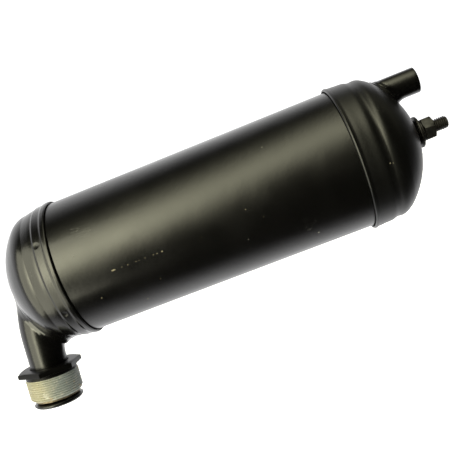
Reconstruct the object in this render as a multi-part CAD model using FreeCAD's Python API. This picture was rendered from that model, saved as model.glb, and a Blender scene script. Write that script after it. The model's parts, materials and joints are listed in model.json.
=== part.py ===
import FreeCAD
import Part
import math
import os

V = FreeCAD.Vector

# A cylindrical steel hydraulic reservoir lying on its side.  Lengths are in millimetres.
# +X runs along the shell from the outlet end to the mounting stud, +Z is up and the outlet points down.
# The origin is on the shell's axis, in the middle of the mounting stud's free thread.

# ---- shell and end caps -------------------------------------------------------------------------
SHELL_R = 44.0
SHELL_WALL = 1.8
SEAM_PITCH = 188.0          # from one cap's lip to the other
CAP_WALL = 1.6
CAP_BORE_R = SHELL_R + 0.1  # slip fit over the tube
STOP_R = 43.0               # step inside a cap that the tube's end meets
POCKET_R = 44.9             # pocket under the lip that holds the brazing ring
POCKET_DEPTH = 2.2

# ---- outlet end cap -----------------------------------------------------------------------------
OUT_LAP = 4.2               # how far the cap reaches over the tube
OUT_DEPTH = 44.1            # lip to the middle of the dome
OUT_KNUCKLE_R = 13.7
OUT_NECK_R = 42.8           # radius where the dome starts
OUT_TANGENT = 17.5
STAKES = 6
STAKE_R = 3.0
STAKE_SINK = 0.6
STAKE_U = 7.3
STAKE_FROM_R = 44.85
STAKE_PHASE = 32.0          # degrees

# ---- stud end cap -------------------------------------------------------------------------------
STUD_LAP = 8.0
STUD_DEPTH = 42.8
STUD_KNUCKLE_R = 14.5
STUD_NECK_R = 44.2
STUD_TANGENT = 15.5
BEAD_U = 18.2               # soft raised bead where the dome begins
BEAD_TOP_R = 44.7
BEAD_R = 3.0

# ---- outlet pipe --------------------------------------------------------------------------------
PIPE_R = 12.7
PIPE_WALL = 2.0
OUT_TILT = math.radians(6.1)    # from straight down, towards the outlet end
OUT_S0_X = -42.9                # reference point on the outlet axis, measured from the outlet lip
OUT_S0_Z = -53.0
BEND_S = -15.6                  # distance along the outlet axis where the bend starts
BEND_R = 91.4
BEND_SWEEP = 34.0               # degrees
PAD_TILT = math.radians(24.1)   # the flat pad pressed into the dome, which the pipe is welded to
PAD_X = -37.9
PAD_Z = -19.8
PAD_R = 15.4
PIPE_INSIDE = 6.0               # how far the mitred end stands inside the pad
WELD_H = 4.9
WELD_TOP_R = 15.2
WELD_LOW_R = 13.1
FLARE_S = 25.2
FLARE_R = 16.8
FLARE_T = 2.2
FLARE_NECK = 1.2
FLARE_EDGE = 0.9
SEAL_R = 14.9
SEAL_CORD_R = 1.1
SEAL_PROUD = 0.5

# ---- union nut ----------------------------------------------------------------------------------
UNION_AF = 38.0
UNION_HEX_S = 1.7
UNION_HEX_T = 3.8
UNION_FACE_EDGE = 0.4           # the chamfer takes this much off the flats
UNION_CROWN_T = 1.0             # and reaches this far down the corners
UNION_CROWN_R = 3.2
UNION_BORE_R = PIPE_R + 0.3
UNION_THREAD_S = 8.0
UNION_THREAD_R = 18.0           # M36 x 1.5
UNION_THREAD_L = 13.0
UNION_CHAMFER = 1.5
UNION_NECK_R = 17.4
UNION_TURN = 61.5               # degrees, how the hexagon happens to stand
RING_T = 1.2
RING_R = 15.2

# ---- return stub --------------------------------------------------------------------------------
STUB_R = 8.0
STUB_WALL = 1.5
STUB_Z = 30.6
STUB_END = 54.2                 # from the stud end lip to the stub's mouth
STUB_INSIDE = 24.0              # where its inner end is, from the same lip
STUB_HOSE_LEN = 9.0             # full-size end that the hose goes over
STUB_ROOT_R = 7.7
STUB_SOCKET = 10.0              # depth of the socket for the diffuser
STUB_SOCKET_R = 7.0
STUB_WELD = 4.2

# ---- mounting stud and its nut ------------------------------------------------------------------
STUD_R = 4.0                    # M8
SHANK_R = 3.65
FREE_THREAD = 8.0
TIP_CHAMFER = 1.0
HEAD_R = 6.5
HEAD_T = 3.0
NUT_AF = 13.0
NUT_T = 6.5
NUT_TURN = 55.0
NUT_EDGE = 0.6
NUT_BORE_R = STUD_R + 0.06
SPRING_R = 7.0
SPRING_T = 2.0
SPRING_GAP = 0.8
SPRING_SLANT = 20.0
WASHER_R = 10.0
WASHER_T = 1.5
WASHER_BORE_R = STUD_R + 0.3
BOSS_R = 8.0
APEX_TO_WASHER = 1.2
BACK_R = 14.0
BACK_T = 2.0

# ---- inner pieces -------------------------------------------------------------------------------
PLATE_T = 1.2
PLATE_RIM = 8.0
PLATE_R = SHELL_R - SHELL_WALL
SCREEN_X = 10.0                 # from the outlet lip
BAFFLE_X = 128.0
HOLE_RINGS = [(0.0, 1), (8.5, 6), (17.0, 12), (25.5, 18), (34.0, 24)]
SCREEN_HOLE_R = 2.0
BAFFLE_RINGS = [(12.0, 6), (27.0, 10)]
BAFFLE_HOLE_R = 4.0
BAFFLE_DRAIN = 12.0             # height of the segment left open at the bottom
DIFFUSER_LEN = 52.0
DIFFUSER_WALL = 1.0
DIFFUSER_HOLE_R = 2.2
DIFFUSER_ROWS = 4

# ---- places along the shell's axis --------------------------------------------------------------
NUT_X = -FREE_THREAD / 2
SPRING_X = NUT_X - NUT_T
WASHER_X = SPRING_X - SPRING_T
BOSS_X = WASHER_X - WASHER_T
APEX_X = BOSS_X - APEX_TO_WASHER
STUD_LIP_X = APEX_X - STUD_DEPTH
OUT_LIP_X = STUD_LIP_X - SEAM_PITCH

DOWN = V(-math.sin(OUT_TILT), 0, -math.cos(OUT_TILT))
ACROSS = V(math.cos(OUT_TILT), 0, -math.sin(OUT_TILT))
OUT_REF = V(OUT_LIP_X + OUT_S0_X, 0, OUT_S0_Z)
BEND_START = OUT_REF + DOWN * BEND_S
BEND_CENTRE = BEND_START + ACROSS * BEND_R
PAD_NORMAL = V(-math.cos(PAD_TILT), 0, -math.sin(PAD_TILT))
PAD_POINT = V(OUT_LIP_X + PAD_X, 0, PAD_Z)


def export(node, shape):
    """Write one sub-part; every node is one or more closed solids."""
    if not shape.isValid():
        raise RuntimeError(node + " is not a valid shape")
    shape.exportStep("parts/" + node + ".step")


def crown_radius(knuckle, neck, height):
    """Radius of the crown that a knuckle arc runs into at the given dome height."""
    return (neck * neck - 2 * neck * knuckle + height * height) / (2 * (height - knuckle))


def wire_of(points):
    """Closed wire.  A point is (u, r); a triple (u, r, (mu, mr)) is reached by an arc through (mu, mr)."""
    edges = []
    last = V(points[0][0], 0, points[0][1])
    for item in list(points[1:]) + [points[0][:2]]:
        here = V(item[0], 0, item[1])
        if (here - last).Length < 1e-9:
            continue
        if len(item) == 3:
            middle = V(item[2][0], 0, item[2][1])
            edges.append(Part.Arc(last, middle, here).toShape())
        else:
            edges.append(Part.LineSegment(last, here).toShape())
        last = here
    return Part.Wire(edges)


def lathe(points):
    """Solid of revolution about the X axis from an outline in (x, radius)."""
    return Part.Face(wire_of(points)).revolve(V(0, 0, 0), V(1, 0, 0), 360)


def dome(knuckle, neck, tangent, depth):
    """Points of a dome's outline from its neck to its middle, as two arcs."""
    height = depth - tangent
    crown = crown_radius(knuckle, neck, height)
    centre_u = depth - crown
    knuckle_r = neck - knuckle
    angle = math.atan2(knuckle_r, tangent - centre_u)
    join = (centre_u + crown * math.cos(angle), crown * math.sin(angle))
    half = (angle + math.pi / 2) / 2
    bend = (tangent + knuckle * math.cos(half), knuckle_r + knuckle * math.sin(half))
    top = (centre_u + crown * math.cos(angle / 2), crown * math.sin(angle / 2))
    return [(join[0], join[1], bend), (depth, 0.0, top)]


def cap(skin, lap, knuckle, neck, tangent, depth):
    """A pressed cap in its own outline coordinates: u grows from the lip to the dome."""
    outside = skin + [(tangent, neck)] + dome(knuckle, neck, tangent, depth)
    outside.append((skin[0][0], 0.0))
    inner = [(skin[0][0], POCKET_R), (POCKET_DEPTH, POCKET_R), (POCKET_DEPTH, CAP_BORE_R)]
    inner += [(lap, CAP_BORE_R), (lap, STOP_R), (tangent, neck - CAP_WALL)]
    inner += dome(knuckle - CAP_WALL, neck - CAP_WALL, tangent, depth - CAP_WALL)
    inner.append((skin[0][0], 0.0))
    return lathe(outside), lathe(inner)


def place(shape, x, flip):
    """Move an outline-coordinate solid to its end of the shell."""
    moved = shape.copy()
    if flip:
        moved.rotate(V(0, 0, 0), V(0, 0, 1), 180)
    moved.translate(V(x, 0, 0))
    return moved


def half_space(point, normal, size=160.0):
    """A big block whose face passes through the point and which fills the side that normal points to."""
    block = Part.makeBox(size, size, size, V(-size / 2, -size / 2, 0))
    block.Placement = FreeCAD.Placement(point, FreeCAD.Rotation(V(0, 0, 1), normal))
    return block


def bent_rod(radius, end_s):
    """Solid rod along the outlet's centre line: the bend, then straight to end_s."""
    circle = Part.Wire(Part.makeCircle(radius, BEND_START, DOWN))
    bend = Part.Face(circle).revolve(BEND_CENTRE, V(0, 1, 0), BEND_SWEEP)
    straight = Part.makeCylinder(radius, end_s - BEND_S, BEND_START, DOWN)
    return bend.fuse(straight)


def along_outlet(points):
    """Solid of revolution about the outlet's axis, from an outline in (distance, radius)."""
    shape = Part.Face(wire_of(points)).revolve(V(0, 0, 0), V(1, 0, 0), 360)
    shape.Placement = FreeCAD.Placement(OUT_REF, FreeCAD.Rotation(V(1, 0, 0), DOWN))
    return shape


def hexagon(across_flats, start, length, turn):
    """Hexagonal prism along +X."""
    corner = across_flats / math.sqrt(3)
    points = []
    for k in range(7):
        angle = math.radians(60 * k + turn)
        points.append(V(start, corner * math.cos(angle), corner * math.sin(angle)))
    return Part.Face(Part.makePolygon(points)).extrude(V(length, 0, 0))


def ring(x, length, outer, bore):
    """Plain ring about the shell's axis."""
    body = Part.makeCylinder(outer, length, V(x, 0, 0), V(1, 0, 0))
    return body.cut(Part.makeCylinder(bore, length, V(x, 0, 0), V(1, 0, 0)))


def make_shell():
    length = OUT_LAP + SEAM_PITCH + STUD_LAP
    return ring(OUT_LIP_X - OUT_LAP, length, SHELL_R, SHELL_R - SHELL_WALL)


def make_outlet_cap():
    skin = [(0.5, POCKET_R), (0.5, 45.3), (1.1, 45.8), (2.9, 45.8), (3.9, 45.1), (9.0, 44.7), (9.9, 44.0),
            (12.0, 43.9), (15.0, 43.4)]
    outer, inner = cap(skin, OUT_LAP, OUT_KNUCKLE_R, OUT_NECK_R, OUT_TANGENT, OUT_DEPTH)
    outer = place(outer, OUT_LIP_X, True)
    inner = place(inner, OUT_LIP_X, True)
    for k in range(STAKES):
        angle = math.radians(STAKE_PHASE + k * 360 / STAKES)
        reach = STAKE_FROM_R + STAKE_R - STAKE_SINK
        centre = V(OUT_LIP_X - STAKE_U, reach * math.cos(angle), reach * math.sin(angle))
        outer = outer.cut(Part.makeSphere(STAKE_R, centre))
    outer = outer.fuse(bent_rod(PAD_R, 0)).cut(half_space(PAD_POINT, PAD_NORMAL))
    inner = inner.cut(half_space(PAD_POINT - PAD_NORMAL * CAP_WALL, PAD_NORMAL))
    return outer.cut(inner).cut(bent_rod(PIPE_R, 0)).removeSplitter()


def make_stud_cap():
    skin = [(-1.0, POCKET_R), (-0.8, 46.0), (0.0, 46.3), (0.8, 46.0), (1.8, 45.7), (8.0, 45.5), (11.2, 45.0),
            (13.0, 44.5)]
    outer, inner = cap(skin, STUD_LAP, STUD_KNUCKLE_R, STUD_NECK_R, STUD_TANGENT, STUD_DEPTH)
    outer = outer.fuse(Part.makeTorus(BEAD_TOP_R - BEAD_R, BEAD_R, V(BEAD_U, 0, 0), V(1, 0, 0)))
    outer = place(outer, STUD_LIP_X, False)
    inner = place(inner, STUD_LIP_X, False)
    stub_hole = Part.makeCylinder(STUB_ROOT_R, STUB_END, V(STUD_LIP_X, 0, STUB_Z), V(1, 0, 0))
    stud_hole = Part.makeCylinder(SHANK_R, STUD_DEPTH * 2, V(STUD_LIP_X, 0, 0), V(1, 0, 0))
    return outer.cut(inner).cut(stub_hole).cut(stud_hole)


def make_braze_ring(x, inward):
    """Filler ring in the pocket under a cap's lip."""
    start = x + (1.0 if inward > 0 else -POCKET_DEPTH)
    return ring(start, POCKET_DEPTH - 1.0, POCKET_R, SHELL_R)


def make_outlet_pipe():
    end = FLARE_S + FLARE_T
    rod = bent_rod(PIPE_R, end)
    collar = along_outlet([(FLARE_S - FLARE_NECK, 0), (FLARE_S - FLARE_NECK, PIPE_R),
                           (FLARE_S, FLARE_R - FLARE_EDGE), (FLARE_S + FLARE_EDGE / 2, FLARE_R),
                           (end - FLARE_EDGE, FLARE_R), (end, FLARE_R - FLARE_EDGE), (end, 0)])
    groove = along_outlet([(end - 2 * SEAL_CORD_R + SEAL_PROUD, SEAL_R - SEAL_CORD_R),
                           (end - 2 * SEAL_CORD_R + SEAL_PROUD, SEAL_R + SEAL_CORD_R),
                           (end + 1, SEAL_R + SEAL_CORD_R), (end + 1, SEAL_R - SEAL_CORD_R)])
    bore = bent_rod(PIPE_R - PIPE_WALL, end + 1)
    inside = half_space(PAD_POINT - PAD_NORMAL * PIPE_INSIDE, PAD_NORMAL * -1)
    return rod.fuse(collar).cut(groove).cut(bore).cut(inside).removeSplitter()


def make_face_seal():
    """Round rubber ring in the groove of the outlet's end face."""
    end = FLARE_S + FLARE_T
    return Part.makeTorus(SEAL_R, SEAL_CORD_R, OUT_REF + DOWN * (end - SEAL_CORD_R + SEAL_PROUD), DOWN)


def plane_face(point, size=120.0):
    """Large square face parallel to the pad."""
    plane = Part.makePlane(size, size, V(-size / 2, -size / 2, 0))
    plane.Placement = FreeCAD.Placement(point, FreeCAD.Rotation(V(0, 0, 1), PAD_NORMAL))
    return plane


def make_outlet_weld():
    """Fillet of weld between the pad and the pipe: two oblique cuts of the bent rod, lofted."""
    top = bent_rod(WELD_TOP_R, 0).common(plane_face(PAD_POINT)).Faces[0].OuterWire
    low = bent_rod(WELD_LOW_R, 0).common(plane_face(PAD_POINT + PAD_NORMAL * WELD_H)).Faces[0].OuterWire
    collar = Part.makeLoft([top, low], True, True)
    return collar.cut(bent_rod(PIPE_R, 0))


def make_union_nut():
    end = UNION_THREAD_S + UNION_THREAD_L
    body = along_outlet([(UNION_HEX_S, 0), (UNION_HEX_S, UNION_NECK_R), (UNION_THREAD_S, UNION_NECK_R),
                         (UNION_THREAD_S, UNION_THREAD_R), (end, UNION_THREAD_R),
                         (end + UNION_CHAMFER, UNION_THREAD_R - UNION_CHAMFER), (end + UNION_CHAMFER, 0)])
    prism = hexagon(UNION_AF, UNION_HEX_S, UNION_HEX_T, UNION_TURN)
    half = UNION_AF / 2
    prism.Placement = FreeCAD.Placement(OUT_REF, FreeCAD.Rotation(V(1, 0, 0), DOWN))
    crown = half + UNION_CROWN_R
    crowned = along_outlet([(UNION_HEX_S, 0), (UNION_HEX_S, half - UNION_FACE_EDGE),
                            (UNION_HEX_S + UNION_CROWN_T, crown), (UNION_HEX_S + UNION_HEX_T, crown),
                            (UNION_HEX_S + UNION_HEX_T, 0)])
    bore = Part.makeCylinder(UNION_BORE_R, 60, OUT_REF - DOWN * 10, DOWN)
    return prism.common(crowned).fuse(body).cut(bore)


def make_thrust_ring():
    start = FLARE_S - FLARE_NECK - RING_T
    return along_outlet([(start, UNION_BORE_R), (start, RING_R), (start + RING_T, RING_R),
                         (start + RING_T, UNION_BORE_R)])


def make_return_stub():
    start = STUD_LIP_X + STUB_INSIDE
    mouth = STUD_LIP_X + STUB_END
    step = mouth - STUB_HOSE_LEN
    socket = start + STUB_SOCKET
    tube = lathe([(start, STUB_SOCKET_R), (start, STUB_ROOT_R), (step, STUB_ROOT_R), (step, STUB_R),
                  (mouth, STUB_R), (mouth, STUB_R - STUB_WALL), (socket, STUB_R - STUB_WALL),
                  (socket, STUB_SOCKET_R)])
    tube.translate(V(0, 0, STUB_Z))
    return tube


def stud_dome(extra):
    """Solid inside of the stud end's dome, grown outwards by extra."""
    points = [(0, 0), (0, STUD_NECK_R + extra), (STUD_TANGENT, STUD_NECK_R + extra)]
    points += dome(STUD_KNUCKLE_R + extra, STUD_NECK_R + extra, STUD_TANGENT, STUD_DEPTH + extra)
    return place(lathe(points), STUD_LIP_X, False)


def make_stub_weld():
    """Stepped fillet around the stub where it enters the dome."""
    weld = None
    for step in (1, 2, 3):
        grow = STUB_WELD * step / 3
        reach = STUB_R + STUB_WELD - grow + 0.6
        sleeve = Part.makeCylinder(reach, STUB_END, V(STUD_LIP_X, 0, STUB_Z), V(1, 0, 0))
        layer = sleeve.common(stud_dome(grow))
        weld = layer if weld is None else weld.fuse(layer)
    hole = Part.makeCylinder(STUB_ROOT_R, STUB_END, V(STUD_LIP_X, 0, STUB_Z), V(1, 0, 0))
    return weld.cut(stud_dome(0)).cut(hole).removeSplitter()


def make_stud_boss():
    """Round boss on the middle of the dome, which carries the stud."""
    block = Part.makeCylinder(BOSS_R, BOSS_X - STUD_LIP_X, V(STUD_LIP_X, 0, 0), V(1, 0, 0))
    hole = Part.makeCylinder(SHANK_R, BOSS_X - STUD_LIP_X, V(STUD_LIP_X, 0, 0), V(1, 0, 0))
    return block.cut(stud_dome(0)).cut(hole)


def make_stud():
    base = APEX_X - CAP_WALL - BACK_T
    tip = FREE_THREAD / 2
    return lathe([(base - HEAD_T, 0), (base - HEAD_T, HEAD_R), (base, HEAD_R), (base, SHANK_R),
                  (NUT_X, SHANK_R), (NUT_X, STUD_R), (tip, STUD_R),
                  (tip + TIP_CHAMFER, STUD_R - TIP_CHAMFER), (tip + TIP_CHAMFER, 0)])


def make_backing_plate():
    """Dished plate behind the dome that spreads the stud's load."""
    back = APEX_X - CAP_WALL - BACK_T
    plate = Part.makeCylinder(BACK_R, APEX_X - back, V(back, 0, 0), V(1, 0, 0))
    hole = Part.makeCylinder(SHANK_R, APEX_X - back, V(back, 0, 0), V(1, 0, 0))
    return plate.common(stud_dome(-CAP_WALL)).cut(hole)


def make_stud_nut():
    half = NUT_AF / 2
    corner = NUT_AF / math.sqrt(3)
    prism = hexagon(NUT_AF, SPRING_X, NUT_T, NUT_TURN)
    crowned = lathe([(SPRING_X, 0), (SPRING_X, half), (SPRING_X + NUT_EDGE, corner + 0.1),
                     (NUT_X - NUT_EDGE, corner + 0.1), (NUT_X, half), (NUT_X, 0)])
    bore = Part.makeCylinder(NUT_BORE_R, NUT_T, V(SPRING_X, 0, 0), V(1, 0, 0))
    return prism.common(crowned).cut(bore)


def make_spring_washer():
    """Split ring with a slanted gap."""
    body = ring(WASHER_X, SPRING_T, SPRING_R, WASHER_BORE_R)
    middle = WASHER_X + SPRING_T / 2
    gap = Part.makeBox(4 * SPRING_T, SPRING_GAP, SPRING_R + 2,
                       V(middle - 2 * SPRING_T, -SPRING_GAP / 2, 0))
    gap.rotate(V(middle, 0, 0), V(0, 0, 1), SPRING_SLANT)
    return body.cut(gap)


def perforated_plate(x, rings, hole_r):
    """Flanged disc with rings of holes, pressed into the tube."""
    rim = ring(x, PLATE_RIM, PLATE_R, PLATE_R - PLATE_T)
    disc = Part.makeCylinder(PLATE_R, PLATE_T, V(x, 0, 0), V(1, 0, 0))
    holes = []
    for radius, count in rings:
        for k in range(count):
            angle = 2 * math.pi * k / count
            at = V(x - 1, radius * math.cos(angle), radius * math.sin(angle))
            holes.append(Part.makeCylinder(hole_r, PLATE_T + 2, at, V(1, 0, 0)))
    return rim.fuse(disc.cut(Part.makeCompound(holes))).removeSplitter()


def make_baffle():
    plate = perforated_plate(OUT_LIP_X + BAFFLE_X, BAFFLE_RINGS, BAFFLE_HOLE_R)
    low = -PLATE_R - 5
    opening = Part.makeBox(PLATE_RIM + 4, 2 * PLATE_R, BAFFLE_DRAIN + 5,
                           V(OUT_LIP_X + BAFFLE_X - 2, -PLATE_R, low))
    return plate.cut(opening)


def make_diffuser():
    """Blind tube on the stub's inner end with cross holes, so that the returning oil doesn't foam."""
    start = STUD_LIP_X + STUB_INSIDE + STUB_SOCKET - DIFFUSER_LEN
    inner = V(start + DIFFUSER_WALL, 0, STUB_Z)
    tube = Part.makeCylinder(STUB_SOCKET_R, DIFFUSER_LEN, V(start, 0, STUB_Z), V(1, 0, 0))
    tube = tube.cut(Part.makeCylinder(STUB_SOCKET_R - DIFFUSER_WALL, DIFFUSER_LEN, inner, V(1, 0, 0)))
    for k in range(DIFFUSER_ROWS):
        x = start + 6 + 8 * k
        tube = tube.cut(Part.makeCylinder(DIFFUSER_HOLE_R, 30, V(x, -15, STUB_Z), V(0, 1, 0)))
    return tube


def main():
    os.makedirs("parts", exist_ok=True)
    export("shell_tube", make_shell())
    export("outlet_end_cap", make_outlet_cap())
    export("stud_end_cap", make_stud_cap())
    export("outlet_cap_braze_ring", make_braze_ring(OUT_LIP_X, -1))
    export("stud_cap_braze_ring", make_braze_ring(STUD_LIP_X, 1))
    export("outlet_pipe", make_outlet_pipe())
    export("outlet_weld", make_outlet_weld())
    export("outlet_face_seal", make_face_seal())
    export("union_nut", make_union_nut())
    export("union_thrust_ring", make_thrust_ring())
    export("return_stub", make_return_stub())
    export("return_stub_weld", make_stub_weld())
    export("stud_boss", make_stud_boss())
    export("mounting_stud", make_stud())
    export("stud_backing_plate", make_backing_plate())
    export("flat_washer", ring(BOSS_X, WASHER_T, WASHER_R, WASHER_BORE_R))
    export("spring_washer", make_spring_washer())
    export("stud_nut", make_stud_nut())
    export("suction_screen", perforated_plate(OUT_LIP_X + SCREEN_X, HOLE_RINGS, SCREEN_HOLE_R))
    export("return_baffle", make_baffle())
    export("return_diffuser", make_diffuser())


main()
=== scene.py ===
import json
import math

import bmesh
import bpy
import numpy as np
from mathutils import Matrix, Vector


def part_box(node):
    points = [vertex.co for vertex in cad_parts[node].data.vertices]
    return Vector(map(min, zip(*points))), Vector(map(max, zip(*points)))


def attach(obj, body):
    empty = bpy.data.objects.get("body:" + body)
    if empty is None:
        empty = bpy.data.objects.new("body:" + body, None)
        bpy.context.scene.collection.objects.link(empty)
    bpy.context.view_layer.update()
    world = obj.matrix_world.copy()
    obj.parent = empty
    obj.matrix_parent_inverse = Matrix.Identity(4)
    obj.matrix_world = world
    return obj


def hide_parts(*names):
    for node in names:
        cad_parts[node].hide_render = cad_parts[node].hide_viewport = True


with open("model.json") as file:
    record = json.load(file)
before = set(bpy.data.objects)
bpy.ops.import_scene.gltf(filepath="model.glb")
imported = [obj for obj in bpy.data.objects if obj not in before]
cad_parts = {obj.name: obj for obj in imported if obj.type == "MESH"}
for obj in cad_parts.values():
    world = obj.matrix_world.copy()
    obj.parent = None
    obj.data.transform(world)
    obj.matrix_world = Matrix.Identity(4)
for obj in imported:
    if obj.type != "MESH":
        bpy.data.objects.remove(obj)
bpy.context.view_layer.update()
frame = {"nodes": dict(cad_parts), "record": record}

# Hydraulic reservoir.  Shapes are worked out in millimetres in the model's frame and scaled when they
# become meshes.  +X runs along the shell towards the mounting stud and +Z is up.

MM = 0.001
TAU = 2 * math.pi


def mm_box(node):
    """Lowest and highest corner of a CAD node, in millimetres."""
    low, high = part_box(node)
    return np.array(low) / MM, np.array(high) / MM


shell_low, shell_high = mm_box("shell_tube")
boss_low, boss_high = mm_box("stud_boss")
nut_low, nut_high = mm_box("stud_nut")
stud_low, stud_high = mm_box("mounting_stud")
stub_low, stub_high = mm_box("return_stub")
mounts = {mount["name"]: mount for mount in frame["record"]["mounts"]}

# ---- dimensions in millimetres ------------------------------------------------------------------
OUT_LAP = 4.2
STUD_LAP = 8.0
SHELL_R = shell_high[2]
SHELL_BORE = SHELL_R - 1.8
OUT_LIP = shell_low[0] + OUT_LAP
STUD_LIP = shell_high[0] - STUD_LAP
CAP_WALL = 1.6
CAP_BORE = SHELL_R + 0.1
STOP_R = 43.0
POCKET_R = 44.9
POCKET_DEPTH = 2.2

OUT_DOME = dict(knuckle=13.7, neck=42.8, tangent=17.5, depth=44.1)
STUD_DOME = dict(knuckle=14.5, neck=44.2, tangent=15.5, depth=42.8)
STAKES = 6                      # dents that hold the outlet cap on the shell
STAKE_PHASE = math.radians(32.0)
STAKE_U = 7.3                   # from the lip to a dent's middle
STAKE_R = 44.8
STAKE_SPAN = 2.4
STAKE_SINK = 0.3
# Soft ridges and hollows on the stud cap: distance from its lip, width and height.
SWELLS = ((7.0, 2.4, -0.15), (11.2, 2.2, 0.12), (14.4, 1.8, -0.22), (18.8, 2.8, 0.40))

thread_mount = mounts["union_thread"]
DOWN = np.array(thread_mount["axis"])
DOWN = DOWN / np.linalg.norm(DOWN)
Y_AXIS = np.array((0.0, 1.0, 0.0))
ACROSS = np.cross(DOWN, Y_AXIS)
THREAD_MIDDLE = 14.5            # where the thread's middle is along the outlet axis
OUT_REF = np.array(thread_mount["pos_m"]) / MM - DOWN * THREAD_MIDDLE
PIPE_R = 12.7
PIPE_BORE = 10.7
BEND_S = -15.6
BEND_R = 91.4
BEND_SWEEP = math.radians(34.0)
BEND_END = BEND_S - BEND_R * BEND_SWEEP
PAD_TILT = math.radians(24.1)
PAD_NORMAL = np.array((-math.cos(PAD_TILT), 0.0, -math.sin(PAD_TILT)))
PAD_POINT = np.array((OUT_LIP - 37.9, 0.0, -19.8))
PAD_R = 15.4
PAD_EASE = 0.8                  # how far the dome's and the pad's surfaces run into each other
BOSS_EASE = 3.5
BULGE_SPAN = (OUT_LIP - 42.0, OUT_LIP - 18.0)
BULGE_REACH = (4.0, 14.0)       # how widely dome and boss blend at the two ends of that span
BULGE_ROUNDS = 40
BULGE_STEP = 0.7
BULGE_LIMITS = (-2.6, 9.0)
FLARE_S = 25.2
FLARE_END = 27.4
FLARE_R = 16.8
SEAL_R = 14.9
SEAL_CORD_R = 1.1

HEX_S = 1.7
HEX_END = 5.5
HEX_HALF = 19.0
HEX_TURN = math.radians(61.5)
NUT_BORE = 13.0
NECK_R = 17.4
THREAD_S = 8.0
THREAD_R = 18.0
THREAD_END = 22.5
THREAD_PITCH = 1.5

STUB_R = 8.0
STUB_BORE = 6.5
STUB_Z = (stub_low[2] + stub_high[2]) / 2
STUB_HOLE = 7.2
FOOT_LOW, FOOT_HIGH = 13.2, 10.4        # how far the stub's weld spreads over the dome, below and above
TOE_LOW, TOE_HIGH = -12.6, -24.3        # where it ends along the stub, below and above
STUD_R = 4.0
STUD_ROOT = 3.25
STUD_SHANK = 3.6
STUD_PITCH = 1.25
STUD_NUT_HALF = 6.5
STUD_NUT_TURN = math.radians(55.0)
WASHER_BORE = 4.3


# ---- outlines and grids -------------------------------------------------------------------------
def rounded(points, steps=5):
    """Outline whose corners are eased; a point is (x, radius, how far the easing reaches)."""
    out = []
    for k, (x, r, reach) in enumerate(points):
        here = np.array((x, r), float)
        if reach <= 0 or k == 0 or k == len(points) - 1:
            out.append(here)
            continue
        before = np.array(points[k - 1][:2]) - here
        after = np.array(points[k + 1][:2]) - here
        before_len, after_len = np.linalg.norm(before), np.linalg.norm(after)
        cut = min(reach, 0.48 * before_len, 0.48 * after_len)
        first = here + before / before_len * cut
        last = here + after / after_len * cut
        for t in np.linspace(0, 1, steps):
            out.append((1 - t) ** 2 * first + 2 * t * (1 - t) * here + t * t * last)
    return np.array(out)


def divided(outline, step):
    """The same outline with no segment longer than step."""
    out = [outline[0]]
    for a, b in zip(outline[:-1], outline[1:]):
        count = max(1, math.ceil(np.linalg.norm(b - a) / step))
        out += [a + (b - a) * k / count for k in range(1, count + 1)]
    return np.array(out)


def crown_of(knuckle, neck, tangent, depth):
    """Crown radius, the crown's centre, and the angle where it meets the knuckle."""
    height = depth - tangent
    crown = (neck * neck - 2 * neck * knuckle + height * height) / (2 * (height - knuckle))
    centre = depth - crown
    return crown, centre, math.atan2(neck - knuckle, tangent - centre)


def dome_outline(knuckle, neck, tangent, depth, steps=36):
    """Outline of a dome from its neck to its middle."""
    crown, centre, join = crown_of(knuckle, neck, tangent, depth)
    bend = np.linspace(math.pi / 2, join, steps)
    top = np.linspace(join, 0, steps)[1:]
    knuckle_part = np.stack((tangent + knuckle * np.cos(bend), neck - knuckle + knuckle * np.sin(bend)), 1)
    crown_part = np.stack((centre + crown * np.cos(top), crown * np.sin(top)), 1)
    return np.concatenate((knuckle_part, crown_part))


def dome_u(radius, knuckle, neck, tangent, depth):
    """How far along a dome its skin is at the given distance from the axis."""
    crown, centre, join = crown_of(knuckle, neck, tangent, depth)
    radius = np.asarray(radius, float)
    on_crown = centre + np.sqrt(np.maximum(crown ** 2 - radius ** 2, 0))
    on_knuckle = tangent + np.sqrt(np.maximum(knuckle ** 2 - (radius - neck + knuckle) ** 2, 0))
    return np.where(radius < crown * math.sin(join), on_crown, on_knuckle)


def dome_distance(u, radius, knuckle, neck, tangent, depth):
    """Signed distance from a dome's skin."""
    crown, centre, join = crown_of(knuckle, neck, tangent, depth)
    angle = np.arctan2(radius, u - centre)
    knuckle_r = neck - knuckle
    from_knuckle = np.hypot(u - tangent, radius - knuckle_r) - knuckle
    from_crown = np.hypot(u - centre, radius) - crown
    return np.where(u < tangent, radius - neck, np.where(angle < join, from_crown, from_knuckle))


class Axis:
    """A line with two directions across it, around which outlines are turned."""

    def __init__(self, origin, along, first, second):
        self.origin, self.along = np.array(origin, float), np.array(along, float)
        self.first, self.second = np.array(first, float), np.array(second, float)

    def at(self, x, radius, angle):
        x, radius, angle = np.broadcast_arrays(x, radius, angle)
        side = np.cos(angle)[..., None] * self.first + np.sin(angle)[..., None] * self.second
        return self.origin + x[..., None] * self.along + radius[..., None] * side


MAIN = Axis((0, 0, 0), (1, 0, 0), (0, 1, 0), (0, 0, 1))
OUT_CAP = Axis((OUT_LIP, 0, 0), (-1, 0, 0), (0, 1, 0), (0, 0, 1))
STUD_CAP = Axis((STUD_LIP, 0, 0), (1, 0, 0), (0, 1, 0), (0, 0, 1))
STUB = Axis((0, 0, STUB_Z), (1, 0, 0), (0, 1, 0), (0, 0, 1))
OUTLET = Axis(OUT_REF, DOWN, Y_AXIS, ACROSS)


def around(count):
    return np.linspace(0, TAU, count, endpoint=False)


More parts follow.
